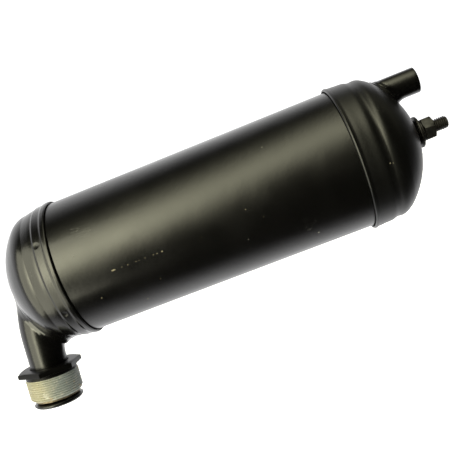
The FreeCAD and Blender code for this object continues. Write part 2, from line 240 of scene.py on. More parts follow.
class Shape:
    """Collects grids of points that become one mesh."""

    def __init__(self):
        self.points, self.faces, self.count = [], [], 0

    def grid(self, points, close_rows=False, close_columns=True):
        rows, columns = points.shape[:2]
        start = self.count
        self.points.append(points.reshape(-1, 3))
        self.count += rows * columns
        for i in range(rows if close_rows else rows - 1):
            for j in range(columns if close_columns else columns - 1):
                below, right = (i + 1) % rows, (j + 1) % columns
                self.faces.append((start + i * columns + j, start + below * columns + j,
                                   start + below * columns + right, start + i * columns + right))
        return self

    def turn(self, axis, outline, angles, close_rows=True):
        """An outline turned about an axis; the grid closes on itself by default."""
        outline = np.asarray(outline)
        return self.grid(axis.at(outline[:, :1], outline[:, 1:2], angles[None, :]), close_rows)


def finish_mesh(mesh, crease):
    work = bmesh.new()
    work.from_mesh(mesh)
    bmesh.ops.remove_doubles(work, verts=work.verts, dist=2e-6)
    bmesh.ops.dissolve_degenerate(work, edges=work.edges, dist=1e-6)
    loose = [v for v in work.verts if not v.link_faces]
    bmesh.ops.delete(work, geom=loose, context="VERTS")
    bmesh.ops.recalc_face_normals(work, faces=work.faces)
    work.to_mesh(mesh)
    work.free()
    mesh.shade_smooth()
    mesh.set_sharp_from_angle(angle=math.radians(crease))


def build(name, shape, body, nodes, material, crease=32.0):
    """Make a piece from a shape, ride it on its body, and hide its CAD nodes."""
    mesh = bpy.data.meshes.new(name)
    mesh.from_pydata((np.concatenate(shape.points) * MM).tolist(), [], shape.faces)
    finish_mesh(mesh, crease)
    piece = bpy.data.objects.new(name, mesh)
    bpy.context.scene.collection.objects.link(piece)
    mesh.materials.append(material)
    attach(piece, body)
    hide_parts(*nodes)
    return piece


def cut_away(piece, shape, crease=32.0):
    """Cut a closed shape out of a piece."""
    mesh = bpy.data.meshes.new("cutter")
    mesh.from_pydata((np.concatenate(shape.points) * MM).tolist(), [], shape.faces)
    finish_mesh(mesh, crease)
    cutter = bpy.data.objects.new("cutter", mesh)
    bpy.context.scene.collection.objects.link(cutter)
    step = piece.modifiers.new("opening", "BOOLEAN")
    step.operation = "DIFFERENCE"
    step.solver = "EXACT"
    step.object = cutter
    done = bpy.data.meshes.new_from_object(piece.evaluated_get(bpy.context.evaluated_depsgraph_get()))
    piece.modifiers.clear()
    piece.data = done
    bpy.data.objects.remove(cutter)
    finish_mesh(done, crease)


# ---- materials ----------------------------------------------------------------------------------
SPOT_FADE = 0.28                # how far past its radius a spot fades out, in millimetres
SPOT_CORE = 0.65                # the part of its radius that is solid


class Graph:
    """Small helper around one material's nodes."""

    def __init__(self, name):
        self.material = bpy.data.materials.new(name)
        self.material.use_nodes = True
        self.tree = self.material.node_tree
        self.shader = self.tree.nodes["Principled BSDF"]
        self.place = self.node("ShaderNodeTexCoord").outputs["Object"]

    def node(self, kind, **values):
        made = self.tree.nodes.new(kind)
        for key, value in values.items():
            setattr(made, key, value)
        return made

    def feed(self, socket, value):
        if hasattr(value, "is_output"):
            self.tree.links.new(value, socket)
        else:
            socket.default_value = value

    def noise(self, scale, detail=3.0, roughness=0.55, place=None):
        made = self.node("ShaderNodeTexNoise")
        self.feed(made.inputs["Vector"], place or self.place)
        made.inputs["Scale"].default_value = scale
        made.inputs["Detail"].default_value = detail
        made.inputs["Roughness"].default_value = roughness
        return made.outputs["Fac"]

    def cells(self, scale, place=None):
        """Distance to the nearest scattered point, and a random number for it."""
        made = self.node("ShaderNodeTexVoronoi")
        self.feed(made.inputs["Vector"], place or self.place)
        made.inputs["Scale"].default_value = scale
        pick = self.node("ShaderNodeSeparateColor")
        self.feed(pick.inputs[0], made.outputs["Color"])
        return made.outputs["Distance"], pick.outputs[0]

    def stretched(self, scale, turn=(0.0, 0.0, 0.0)):
        made = self.node("ShaderNodeMapping")
        self.feed(made.inputs["Vector"], self.place)
        made.inputs["Scale"].default_value = scale
        made.inputs["Rotation"].default_value = turn
        return made.outputs[0]

    def math(self, operation, a, b=0.0):
        made = self.node("ShaderNodeMath", operation=operation)
        self.feed(made.inputs[0], a)
        self.feed(made.inputs[1], b)
        return made.outputs[0]

    def between(self, value, low, high, out_low=0.0, out_high=1.0):
        """Value mapped smoothly from one range to another, and held at the ends."""
        made = self.node("ShaderNodeMapRange", interpolation_type="SMOOTHSTEP")
        self.feed(made.inputs["Value"], value)
        made.inputs["From Min"].default_value = low
        made.inputs["From Max"].default_value = high
        made.inputs["To Min"].default_value = out_low
        made.inputs["To Max"].default_value = out_high
        return made.outputs[0]

    def mix(self, factor, a, b):
        made = self.node("ShaderNodeMix", data_type="RGBA")
        self.feed(made.inputs[0], factor)
        self.feed(made.inputs[6], a)
        self.feed(made.inputs[7], b)
        return made.outputs[2]

    def near(self, spots):
        """One where the surface is near a spot (x, y, z, radius in millimetres), with ragged edges."""
        ragged = self.math("MULTIPLY", self.noise(900.0, 4.0), 0.0006)
        total = None
        for x, y, z, radius in spots:
            gap = self.node("ShaderNodeVectorMath", operation="DISTANCE")
            self.feed(gap.inputs[0], self.place)
            gap.inputs[1].default_value = (x * MM, y * MM, z * MM)
            away = self.math("ADD", gap.outputs["Value"], ragged)
            here = self.between(away, (radius + SPOT_FADE) * MM, radius * SPOT_CORE * MM)
            total = here if total is None else self.math("MAXIMUM", total, here)
        return total

    def bump(self, height, strength, distance, below=None):
        made = self.node("ShaderNodeBump")
        made.inputs["Strength"].default_value = strength
        made.inputs["Distance"].default_value = distance
        self.feed(made.inputs["Height"], height)
        if below is not None:
            self.feed(made.inputs["Normal"], below)
        return made.outputs[0]

    def done(self, colour, roughness, normal=None, metallic=0.0, specular=0.5):
        self.feed(self.shader.inputs["Base Color"], colour)
        self.feed(self.shader.inputs["Roughness"], roughness)
        self.feed(self.shader.inputs["Metallic"], metallic)
        self.feed(self.shader.inputs["Specular IOR Level"], specular)
        if normal is not None:
            self.feed(self.shader.inputs["Normal"], normal)
        return self.material


def rgb(r, g, b):
    return (r, g, b, 1.0)


PAINT_LOW, PAINT_HIGH = rgb(0.0007, 0.0007, 0.0006), rgb(0.0014, 0.0013, 0.0011)
DUST, SCRATCHED = rgb(0.20, 0.19, 0.15), rgb(0.13, 0.125, 0.10)
CHIP_AND_GLINT_LIGHT, CHIP_AND_GLINT_DARK = rgb(0.62, 0.56, 0.36), rgb(0.30, 0.25, 0.15)
ZINC_CREAM_LIT, ZINC_BLUE_SHADED, ZINC_SPECK = rgb(0.29, 0.272, 0.19), rgb(0.19, 0.21, 0.20), rgb(0.38, 0.37, 0.31)
RUST, GRIME = rgb(0.40, 0.25, 0.11), rgb(0.09, 0.085, 0.06)
RUBBER_BLACK, RUBBER_BLOOM = rgb(0.012, 0.012, 0.012), rgb(0.07, 0.066, 0.06)


def black_paint(name, gloss=0.23, chips_and_glints=(), brush=0.0, shine=0.5, shaded_seams=()):
    """Satin black paint with faint orange peel, dust specks, fine scratches, and light spots of bare metal:
    chips down to metal, which on the shell also stand as painted glints.

    gloss is the middle of its roughness, brush how strongly it ripples, and shine its specular level.
    Places along x, in metres, may be given where a narrow ring loses its shine and goes black: painted shade
    in the gap between the shell and a cap's lip.
    """
    g = Graph(name)
    cloud = g.noise(26.0, 4.0)
    peel = g.noise(620.0, 2.0)
    wave = g.noise(55.0, 2.0)
    distance, chance = g.cells(150.0)
    specks = g.math("MULTIPLY", g.between(distance, 0.075, 0.045), g.between(chance, 0.955, 0.96))
    lines = g.noise(1.0, 2.0, 0.4, g.stretched((55.0, 640.0, 640.0), (0.0, 0.35, 0.2)))
    rare = g.between(g.noise(38.0, 2.0), 0.64, 0.72)
    off_line = g.math("ABSOLUTE", g.math("SUBTRACT", lines, 0.5))
    scratch = g.math("MULTIPLY", g.between(off_line, 0.012, 0.004), rare)
    colour = g.mix(cloud, PAINT_LOW, PAINT_HIGH)
    colour = g.mix(g.math("MULTIPLY", specks, 0.55), colour, DUST)
    colour = g.mix(g.math("MULTIPLY", scratch, 0.2), colour, SCRATCHED)
    rough = g.between(cloud, 0.25, 0.75, gloss - 0.035, gloss + 0.045)
    rough = g.math("ADD", rough, g.math("MULTIPLY", scratch, 0.12))
    metallic = 0.0
    if chips_and_glints:
        # Bright metal spots: partly chips in the paint, partly painted glints on the front of the shell.
        chip_and_glint_mask = g.near(chips_and_glints)
        chip_and_glint_colour = g.mix(g.noise(900.0, 3.0), CHIP_AND_GLINT_LIGHT, CHIP_AND_GLINT_DARK)
        colour = g.mix(g.math("MULTIPLY", chip_and_glint_mask, 0.7), colour, chip_and_glint_colour)
        rough = g.math("ADD", rough, g.math("MULTIPLY", chip_and_glint_mask, 0.12))
        metallic = g.math("MULTIPLY", chip_and_glint_mask, 0.6)
    normal = g.bump(wave, 0.10, 0.0012)
    normal = g.bump(peel, 0.055, 0.0006, normal)
    normal = g.bump(specks, 0.35, 0.0003, normal)
    if brush:
        normal = g.bump(g.noise(180.0, 3.0), brush, 0.0009, normal)
    # Painted shade: a narrow black ring with no shine at each cap's lip, standing in for the shadowed gap.
    if shaded_seams:
        split = g.node("ShaderNodeSeparateXYZ")
        g.feed(split.inputs[0], g.place)
        for seam in shaded_seams:
            gap = g.math("ADD", g.math("ABSOLUTE", g.math("SUBTRACT", split.outputs[0], seam)),
                         g.math("MULTIPLY", g.noise(260.0, 3.0), 0.0007))
            seam_shade = g.between(gap, 0.0010, 0.0006)
            shine = g.math("MULTIPLY", g.math("SUBTRACT", 1.0, seam_shade), shine)
            rough = g.math("MAXIMUM", rough, g.math("MULTIPLY", seam_shade, 0.9))
    return g.done(colour, rough, normal, metallic, shine)


def zinc(name):
    """Zinc plating with fine dirt and a little rust, and a cream to blue-grey drift across it that is painted
    light and shade: lighter and warmer towards -X, darker and bluer towards +X.
    """
    g = Graph(name)
    split = g.node("ShaderNodeSeparateXYZ")
    g.feed(split.inputs[0], g.place)
    drift = g.math("ADD", split.outputs[0], g.math("MULTIPLY", g.noise(120.0, 3.0), 0.012))
    middle = OUT_REF[0] * MM
    # Painted light and shade: the side towards -X gets the lighter, warmer colour and the side towards +X the
    # darker, bluer one.
    side = g.between(drift, middle - 0.004, middle + 0.016)
    colour = g.mix(side, ZINC_CREAM_LIT, ZINC_BLUE_SHADED)
    colour = g.mix(g.between(g.noise(260.0, 4.0), 0.55, 0.72), colour, ZINC_SPECK)
    rusty = g.between(g.noise(190.0, 3.0), 0.60, 0.70)
    colour = g.mix(g.math("MULTIPLY", rusty, 0.5), colour, RUST)
    grimy = g.between(g.noise(1400.0, 3.0), 0.52, 0.66)
    colour = g.mix(g.math("MULTIPLY", grimy, 0.45), colour, GRIME)
    rough = g.between(g.noise(300.0, 3.0), 0.3, 0.7, 0.42, 0.60)
    normal = g.bump(g.noise(1500.0, 3.0), 0.25, 0.0002)
    return g.done(colour, rough, normal, 0.25)


def fastener(name, tint, rough_low, rough_high, metallic, dirt=0.5):
    """Steel with a thin phosphate or plated skin and dirt in patches."""
    g = Graph(name)
    patch = g.noise(420.0, 4.0)
    colour = g.mix(patch, rgb(tint[0] * 0.6, tint[1] * 0.6, tint[2] * 0.6), rgb(*tint))
    colour = g.mix(g.math("MULTIPLY", g.between(g.noise(900.0, 4.0), 0.50, 0.68), dirt), colour,
                   rgb(min(0.05, tint[0] * 1.6), min(0.035, tint[1] * 1.2), min(0.02, tint[2])))
    rough = g.between(g.noise(700.0, 3.0), 0.3, 0.7, rough_low, rough_high)
    normal = g.bump(g.noise(2200.0, 3.0), 0.22, 0.00015)
    return g.done(colour, rough, normal, metallic)


def rubber(name):
    """Matt black rubber with a dusty bloom."""
    g = Graph(name)
    bloom = g.between(g.noise(350.0, 4.0), 0.45, 0.75)
    colour = g.mix(g.math("MULTIPLY", bloom, 0.5), RUBBER_BLACK, RUBBER_BLOOM)
    rough = g.between(g.noise(500.0, 3.0), 0.3, 0.7, 0.60, 0.78)
    return g.done(colour, rough, g.bump(g.noise(1800.0, 3.0), 0.2, 0.0002))


# Light spots in the paint, x, y, z and radius in millimetres: chips down to metal, and along the front of the
# shell a row of painted glints (painted highlights) drawn the same way as chips.
PAINTED_GLINT_ROW = ((-214.5, 0.65), (-213.6, 0.65), (-212.8, 0.45), (-208.3, 0.35), (-204.5, 0.35), (-199.3, 0.35),
            (-197.4, 0.35), (-193.4, 0.3), (-188.2, 0.35), (-185.8, 0.35), (-182.6, 0.6))
SHELL_CHIPS_AND_GLINTS = [(x, -43.0, -9.2, size) for x, size in PAINTED_GLINT_ROW]
SHELL_CHIPS_AND_GLINTS += [(-128.5, -43.8, -4.0, 0.4), (-120.4, -42.4, -11.6, 0.3), (-158.1, -42.9, -9.9, 0.3),
                (-190.6, -36.6, -24.4, 0.35), (-228.0, -37.8, -22.5, 0.45), (-204.1, -28.1, -33.9, 0.4)]
STUD_CAP_MARKS = [(-39.7, -43.7, 4.0, 0.3), (-39.4, -43.8, 2.4, 0.35), (-39.2, -43.8, 0.8, 0.3),
                  (-43.9, -43.3, -9.2, 0.5), (-42.4, -43.3, -9.9, 0.45), (-49.9, -44.0, -8.0, 0.4),
                  (-37.3, -39.1, 18.4, 0.3)]
paint_shell = black_paint("paint_shell", chips_and_glints=SHELL_CHIPS_AND_GLINTS, shaded_seams=(OUT_LIP * MM, STUD_LIP * MM))
paint_out_cap = black_paint("paint_outlet_cap", 0.21)
paint_stud_cap = black_paint("paint_stud_cap", 0.35, chips_and_glints=STUD_CAP_MARKS)
paint_pipe = black_paint("paint_pipe", 0.22)
paint_weld = black_paint("paint_weld", 0.16, brush=0.3, shine=0.9)
paint_hex = black_paint("paint_hexagon", 0.36, shine=0.14)
zinc_plate = zinc("zinc_plate")
nut_steel = fastener("nut_steel", (0.005, 0.0047, 0.0036), 0.30, 0.42, 0.05)
washer_steel = fastener("washer_steel", (0.006, 0.0055, 0.0045), 0.28, 0.42, 0.2)
stud_steel = fastener("stud_steel", (0.004, 0.003, 0.0018), 0.38, 0.55, 0.1, 0.15)
bare_steel = fastener("bare_steel", (0.46, 0.45, 0.42), 0.30, 0.48, 0.9, 0.3)
ring_steel = fastener("ring_steel", (0.22, 0.18, 0.12), 0.35, 0.55, 0.8, 0.8)
braze = fastener("painted_braze", (0.012, 0.011, 0.008), 0.40, 0.60, 0.1, 0.3)
seal_rubber = rubber("seal_rubber")


# ---- shell and caps -----------------------------------------------------------------------------
def make_shell():
    low, high = shell_low[0], shell_high[0]
    outline = rounded([(low, SHELL_BORE, 0), (low, SHELL_R, 0.4), (high, SHELL_R, 0.4),
                       (high, SHELL_BORE, 0.4), (low, SHELL_BORE, 0)])
    shape = Shape().turn(MAIN, divided(outline, 4.0), around(256))
    return build("shell_tube_skin", shape, "tank", ["shell_tube"], paint_shell)


def smooth_least(a, b, reach):
    """Lesser of two distances, blended where they are close."""
    h = np.clip(0.5 + 0.5 * (b - a) / reach, 0, 1)
    return b * (1 - h) + a * h - reach * h * (1 - h)


def rod_distance(p, radius):
    """Signed distance from the bent rod that the outlet pipe follows."""
    start = OUT_REF + DOWN * BEND_S
    centre = start + ACROSS * BEND_R
    from_start = p - start
    along = from_start @ DOWN
    straight = np.hypot(from_start @ ACROSS, p[..., 1])
    out = p - centre
    bent = np.hypot(np.hypot(out[..., 0], out[..., 2]) - BEND_R, p[..., 1])
    past_end = np.maximum(np.arctan2(-(out @ DOWN), -(out @ ACROSS)) - BEND_SWEEP, 0) * BEND_R
    return np.where(along > 0, straight, bent + past_end) - radius


def boss_distance(p):
    """Signed distance from the boss round the pipe: the rod, cut by the pad's plane."""
    plane = (p - PAD_POINT) @ PAD_NORMAL
    return -smooth_least(-rod_distance(p, PAD_R), -plane, BOSS_EASE)


def bulged(points, normals):
    """Points of the outlet cap moved to where the dome and its pressed flat run smoothly into the boss.

    Each point keeps the height over the plain dome that it came with, so lip, crease and dents stay.
    """

    def from_dome(p):
        return dome_distance(OUT_LIP - p[..., 0], np.hypot(p[..., 1], p[..., 2]), **OUT_DOME)

    level = from_dome(points)
    moved = np.zeros(points.shape[:-1])
    for _ in range(BULGE_ROUNDS):
        p = points + normals * moved[..., None]
        dome = -smooth_least(-from_dome(p), -((p - PAD_POINT) @ PAD_NORMAL), PAD_EASE)
        reach = np.interp(p[..., 0], BULGE_SPAN, BULGE_REACH)
        moved -= BULGE_STEP * (smooth_least(dome, boss_distance(p), reach) - level)
        moved = np.clip(moved, *BULGE_LIMITS)
    return points + normals * moved[..., None]


def grid_normals(outline, axis, angles):
    """Outward normals of a turned outline."""
    slope = np.gradient(outline, axis=0)
    length = np.maximum(np.linalg.norm(slope, axis=1), 1e-9)
    along, out = -slope[:, 1] / length, slope[:, 0] / length
    flipped = Axis((0, 0, 0), axis.along, axis.first, axis.second)
    return flipped.at(along[:, None], out[:, None], angles[None, :])


def cap_inside(skin_start, lap, dome):
    """Inner outline of a cap, from its middle back to the lip."""
    thinner = dict(knuckle=dome["knuckle"] - CAP_WALL, neck=dome["neck"] - CAP_WALL,
                   tangent=dome["tangent"], depth=dome["depth"] - CAP_WALL)
    inner = dome_outline(**thinner, steps=16)[::-1]
    rim = [(lap, STOP_R), (lap, CAP_BORE), (POCKET_DEPTH, CAP_BORE), (POCKET_DEPTH, POCKET_R),
           (skin_start, POCKET_R)]
    return np.concatenate((inner, np.array(rim)))


def out_angles():
    """Columns round the outlet cap, closer together at the staking dents."""
    extra = []
    for k in range(STAKES):
        middle = STAKE_PHASE + k * TAU / STAKES
        extra += [(middle + math.radians(a)) % TAU for a in np.arange(-4.0, 4.01, 0.45)]
    return np.unique(np.round(np.concatenate((around(260), extra)), 4))


def make_out_cap():
    skin = rounded([(0.0, POCKET_R, 0), (0.0, 45.2, 0.2), (0.6, 45.6, 0.5), (2.9, 45.6, 0.8),
                    (4.0, 45.0, 0.8), (9.0, 44.8, 0.4), (9.9, 44.05, 0.5), (12.0, 43.95, 1.5),
                    (15.0, 43.4, 1.8), (17.5, 42.8, 0)])
    outline = np.concatenate((divided(skin, 0.4), dome_outline(**OUT_DOME, steps=44)[1:]))
    angles = out_angles()
    points = OUT_CAP.at(outline[:, :1], outline[:, 1:2], angles[None, :])
    normals = grid_normals(outline, OUT_CAP, angles)
    between = TAU / STAKES
    gap = np.abs((angles - STAKE_PHASE + between / 2) % between - between / 2) * STAKE_R
    spread = np.hypot(outline[:, :1] - STAKE_U, gap[None, :]) / STAKE_SPAN
    dent = STAKE_SINK * np.clip(1 - spread ** 2, 0, 1) ** 1.2
    points = points - normals * dent[..., None]
    points = bulged(points, normals)
    inside = cap_inside(0.0, OUT_LAP, OUT_DOME)
    shape = Shape().grid(points).turn(OUT_CAP, inside, angles, close_rows=False)
    piece = build("outlet_end_cap_skin", shape, "tank", ["outlet_end_cap"], paint_out_cap)
    cut_away(piece, rod_shape(PIPE_R - 0.6, BEND_END, 0.0))
    return piece


def make_stud_cap():
    skin = rounded([(-1.0, POCKET_R, 0), (-0.8, 46.0, 0.3), (0.0, 46.3, 0.5), (0.8, 46.0, 0.4),
                    (1.8, 45.7, 0.6), (8.0, 45.5, 2.2), (11.2, 45.0, 1.5), (13.0, 44.5, 1.0),
                    (15.5, 44.2, 0)])
    outline = np.concatenate((divided(skin, 0.7), dome_outline(**STUD_DOME, steps=44)[1:]))
    u = outline[:, 0]
    swell = sum(size * np.exp(-((u - middle) / width) ** 2) for middle, width, size in SWELLS)
    angles = around(240)
    points = STUD_CAP.at(outline[:, :1], outline[:, 1:2], angles[None, :])
    points = points + grid_normals(outline, STUD_CAP, angles) * swell[:, None, None]
    inside = cap_inside(-1.0, STUD_LAP, STUD_DOME)
    shape = Shape().grid(points).turn(STUD_CAP, inside, angles, close_rows=False)
    piece = build("stud_end_cap_skin", shape, "tank", ["stud_end_cap"], paint_stud_cap)
    start, end = -52.0, stub_high[0]
    hole = [(start, 0.0), (start, STUB_HOLE), (end, STUB_HOLE), (end, 0.0)]
    cut_away(piece, Shape().turn(STUB, hole, around(64), close_rows=False))
    return piece


# ---- outlet -------------------------------------------------------------------------------------
def rod_points(s, radius, angle):
    """Points at a distance s along the bent rod, at a radius and angle about its middle line."""
    s, radius, angle = np.broadcast_arrays(np.asarray(s, float), radius, angle)
    turn = np.maximum(BEND_S - s, 0) / BEND_R
    start = OUT_REF + DOWN * BEND_S
    centre = start + ACROSS * BEND_R
    side = np.cos(turn)[..., None] * ACROSS + np.sin(turn)[..., None] * DOWN
    middle = np.where((s > BEND_S)[..., None], OUT_REF + DOWN * s[..., None], centre - side * BEND_R)
    return middle + radius[..., None] * (np.cos(angle)[..., None] * Y_AXIS + np.sin(angle)[..., None] * side)


def rod_shape(radius, start, end):
    """Closed bent rod."""
    s = np.concatenate(([start], np.linspace(start, end, 40), [end]))[:, None]
    r = np.full(s.shape, radius)
    r[0] = r[-1] = 0.0
    return Shape().grid(rod_points(s, r, around(96)[None, :]))


def where_plane(offset, radius, angle):
    """Distance along the rod at which its wall reaches a plane parallel to the pad."""
    shape = np.broadcast(radius, angle).shape
    low, high = np.full(shape, -60.0), np.full(shape, 20.0)
    for _ in range(40):
        middle = (low + high) / 2
        beyond = (rod_points(middle, radius, angle) - PAD_POINT) @ PAD_NORMAL > offset
        high = np.where(beyond, middle, high)
        low = np.where(beyond, low, middle)
    return (low + high) / 2


def make_pipe():
    angles = around(112)
    start = where_plane(-6.0, PIPE_R, angles)
    straight_end = FLARE_S - 1.4
    t = np.linspace(0, 1, 60)[:, None]
    run = start[None, :] * (1 - t) + straight_end * t
    outer = rod_points(run, np.full(run.shape, PIPE_R), angles[None, :])
    groove = FLARE_END - 1.6
    groove_out, groove_in = SEAL_R + SEAL_CORD_R, SEAL_R - SEAL_CORD_R
    flare = rounded([(straight_end, PIPE_R, 0), (FLARE_S - 0.9, PIPE_R + 0.2, 0.3),
                     (FLARE_S, FLARE_R - 0.9, 0.5), (FLARE_S + 0.5, FLARE_R, 0.4),
                     (FLARE_END - 0.8, FLARE_R, 0.6), (FLARE_END, FLARE_R - 0.9, 0.4),
                     (FLARE_END, groove_out, 0.1), (groove, groove_out, 0), (groove, groove_in, 0),
                     (FLARE_END, groove_in, 0.1), (FLARE_END, PIPE_BORE + 0.4, 0.3),
                     (FLARE_END - 0.5, PIPE_BORE, 0)])
    end = rod_points(flare[:, :1], flare[:, 1:2], angles[None, :])
    back = FLARE_END - 0.5
    bore = rod_points(back * (1 - t) + start[None, :] * t, np.full(run.shape, PIPE_BORE), angles[None, :])
    shape = Shape().grid(np.concatenate((outer, end[1:], bore[1:])), close_rows=True)
    return build("outlet_pipe_skin", shape, "tank", ["outlet_pipe"], paint_pipe)


def make_outlet_weld():
    angles = around(168)
    v = np.linspace(0, 1, 26)
    top, low = PAD_R - 0.5, PIPE_R + 0.3
    offset = np.concatenate(([-1.4, -0.9], 0.15 + 5.0 * v, [5.35, 4.6, -1.6]))
    radius = np.concatenate(([PIPE_R - 0.5, top], low + (top - low) * (1 - v) ** 1.7,
                             [PIPE_R - 0.3, PIPE_R - 0.5, PIPE_R - 0.5]))
    rows = []
    for w, r in zip(offset, radius):
        wobble = 0.10 * np.sin(7 * angles + 1.3) + 0.07 * np.sin(17 * angles + w)
        rows.append(rod_points(where_plane(w + wobble, r, angles), np.full(angles.shape, r), angles))
    shape = Shape().grid(np.array(rows), close_rows=True)
    return build("outlet_weld_bead", shape, "tank", ["outlet_weld"], paint_weld, 40.0)


def hex_radius(angles, half, turn):
    """Distance to the side of a hexagon with a corner at turn."""
    local = (angles - turn) % (TAU / 6) - TAU / 12
    return half / np.cos(local)


def thread_grid(axis, start, end, pitch, major, depth, columns, limit):
    """Right-hand thread as a grid whose rows follow the helix; limit(s) is the most its radius may be."""
    within = np.array((0.0, 0.09, 0.15, 0.40, 0.45, 0.5, 0.55, 0.60, 0.85, 0.91))
    turns = math.ceil((end - start) / pitch) + 2
    phase = (np.arange(turns)[:, None] + within[None, :]).ravel()
    angles = np.linspace(0, TAU, columns + 1)
    s = start - pitch + pitch * (phase[:, None] - angles[None, :] / TAU)
    s = np.clip(s, start, end)
    local = (s - start) / pitch + angles[None, :] / TAU
    height = np.abs(local % 1.0 - 0.5) * 2
    cut = np.clip((height - 0.16) / 0.62, 0, 1)
    radius = np.minimum(major - depth * cut, limit(s))
    return axis.at(s, radius, angles[None, :])


def make_union_hex():
    angles = around(240)
    side = hex_radius(angles, HEX_HALF, HEX_TURN)
    face = HEX_HALF - 0.4
    slope = 1.0 / 3.6
    bevel = (side - face) * slope
    rows = [(HEX_S + 0.5, NUT_BORE), (HEX_S, NUT_BORE + 0.5), (HEX_S, face - 0.15),
            (HEX_S + 0.05, face + 0.05), (HEX_S + bevel * 0.92 + 0.02, face + (side - face) * 0.92),
            (HEX_S + bevel + 0.10, side - 0.03), (HEX_S + bevel + 0.35, side), (HEX_END - 0.35, side),
            (HEX_END - 0.08, side - 0.08), (HEX_END, side - 0.35), (HEX_END, NECK_R + 0.5),
            (HEX_END + 0.15, NECK_R + 0.15), (HEX_END + 0.5, NECK_R), (THREAD_S, NECK_R),
            (THREAD_S, NUT_BORE)]
    grid = [OUTLET.at(s, r, angles) for s, r in rows]
    shape = Shape().grid(np.array(grid), close_rows=True)
    return build("union_nut_hexagon", shape, "union_nut", ["union_nut"], paint_hex, 28.0)


def make_union_thread():
    columns = 240
    start = THREAD_S - 0.05
    full = THREAD_END - 1.5

    def limit(s):
        runout = NECK_R - 0.05 + (s - start) * 0.9
        return np.minimum(np.minimum(THREAD_R, runout), THREAD_R - (s - full))

    threads = thread_grid(OUTLET, start, THREAD_END, THREAD_PITCH, THREAD_R, 0.92, columns, limit)
    shape = Shape().grid(threads, close_columns=False)
    ring = np.array([(THREAD_END, NUT_BORE + 0.5), (THREAD_END - 0.5, NUT_BORE), (start, NUT_BORE),
                     (start, NECK_R - 0.5)])
    inside = OUTLET.at(ring[:, :1], ring[:, 1:2], np.linspace(0, TAU, columns + 1)[None, :])
    shape.grid(np.concatenate((threads[-1:], inside, threads[:1])), close_columns=False)
    return build("union_nut_thread", shape, "union_nut", ["union_nut"], zinc_plate, 50.0)


def make_thrust_ring():
    low, high, outer = 22.8, 24.0, 15.2
    outline = rounded([(low, NUT_BORE, 0), (low, outer, 0.3), (high, outer, 0.3), (high, NUT_BORE, 0.2),
                       (low, NUT_BORE, 0)])
    shape = Shape().turn(OUTLET, outline, around(128))
    return build("union_thrust_ring_skin", shape, "thrust_ring", ["union_thrust_ring"],
                 ring_steel)


# ---- stub, boss, stud and nut -------------------------------------------------------------------
def make_stub():
    low, high = stub_low[0], stub_high[0]
    outline = rounded([(low, STUB_BORE, 0), (low, STUB_R, 0.3), (high, STUB_R, 0.35),
                       (high, STUB_BORE, 0.35), (low, STUB_BORE, 0)])[:-1]
    shape = Shape().turn(STUB, divided(outline, 2.0), around(96))
    return build("return_stub_skin", shape, "tank", ["return_stub"], paint_pipe)


def make_stub_weld():
    """Wide fillet round the stub, longer along the stub on the side towards the middle of the dome."""
    angles = around(144)                    # from +Y towards +Z, as the stub's axis has it
    up = (1 + np.sin(angles)) / 2
    toe_x = TOE_LOW + (TOE_HIGH - TOE_LOW) * up ** 0.9
    reach = FOOT_LOW + (FOOT_HIGH - FOOT_LOW) * up

    def on_dome(r):
        away = np.hypot(r * np.cos(angles), STUB_Z + r * np.sin(angles))
        return STUD_LIP + dome_u(away, **STUD_DOME)

    corner_x, far_x = on_dome(STUB_R), on_dome(reach)
    t = np.linspace(0, 1, 30)[:, None]
    x = (1 - t) ** 2 * far_x + 2 * t * (1 - t) * (corner_x + 0.25) + t ** 2 * toe_x
    r = (1 - t) ** 2 * reach + 2 * t * (1 - t) * (STUB_R + 0.25) + t ** 2 * (STUB_R + 0.05)
    fading = np.sin(math.pi * t) * (0.25 + 0.75 * up)
    ripple = 0.13 * np.sin(TAU * 3.2 * t + 0.6 * np.sin(3 * angles)) * fading
    inside, edge = np.full(angles.shape, STUB_R - 0.4), np.full(angles.shape, STUB_R - 0.3)
    rows_x = np.concatenate((x + ripple, [toe_x, toe_x - 0.2, corner_x - 1.5, far_x - 1.2]))
    rows_r = np.concatenate((r + ripple, [edge, inside, inside, reach - 0.4]))
    shape = Shape().grid(STUB.at(rows_x, rows_r, angles[None, :]), close_rows=True)
    return build("return_stub_weld_bead", shape, "tank", ["return_stub_weld"], paint_weld,
                 50.0)


def make_boss():
    low, high = boss_low[0], boss_high[0]
    sunk, bore = low - 0.6, 3.7
    outline = rounded([(sunk, bore, 0), (sunk, 9.6, 0), (low + 0.35, 9.3, 0.4), (low + 0.9, 8.1, 0.9),
                       (high, 8.0, 0.5), (high, bore, 0), (sunk, bore, 0)])[:-1]
    shape = Shape().turn(MAIN, outline, around(96))
    return build("stud_boss_skin", shape, "tank", ["stud_boss"], paint_weld)


def make_stud():
    """Stud with a rolled thread; its head is behind the dome."""
    columns = 96
    start, tip = nut_low[0] + 0.1, stud_high[0]
    full = tip - 1.0

    def limit(x):
        return np.minimum(np.minimum(STUD_R, STUD_ROOT + (x - start) * 0.9), STUD_R - (x - full))

    threads = thread_grid(MAIN, start, tip, STUD_PITCH, STUD_R, 0.77, columns, limit)
    angles = np.linspace(0, TAU, columns + 1)
    head = stud_low[0]
    head_end, head_r = head + 3.0, 6.5
    nose = rounded([(tip, STUD_R - 1.0, 0), (tip, 2.2, 0.5), (tip, 0.0, 0)])[1:]
    back = np.array([(start, STUD_SHANK), (head_end, STUD_SHANK), (head_end, head_r), (head, head_r),
                     (head, 0.0)])
    shape = Shape().grid(threads, close_columns=False)
    for edge, rest in ((threads[-1:], nose), (threads[:1], back)):
        beyond = MAIN.at(rest[:, :1], rest[:, 1:2], angles[None, :])
        shape.grid(np.concatenate((edge, beyond)), close_columns=False)
    return build("mounting_stud_skin", shape, "tank", ["mounting_stud"], stud_steel, 50.0)


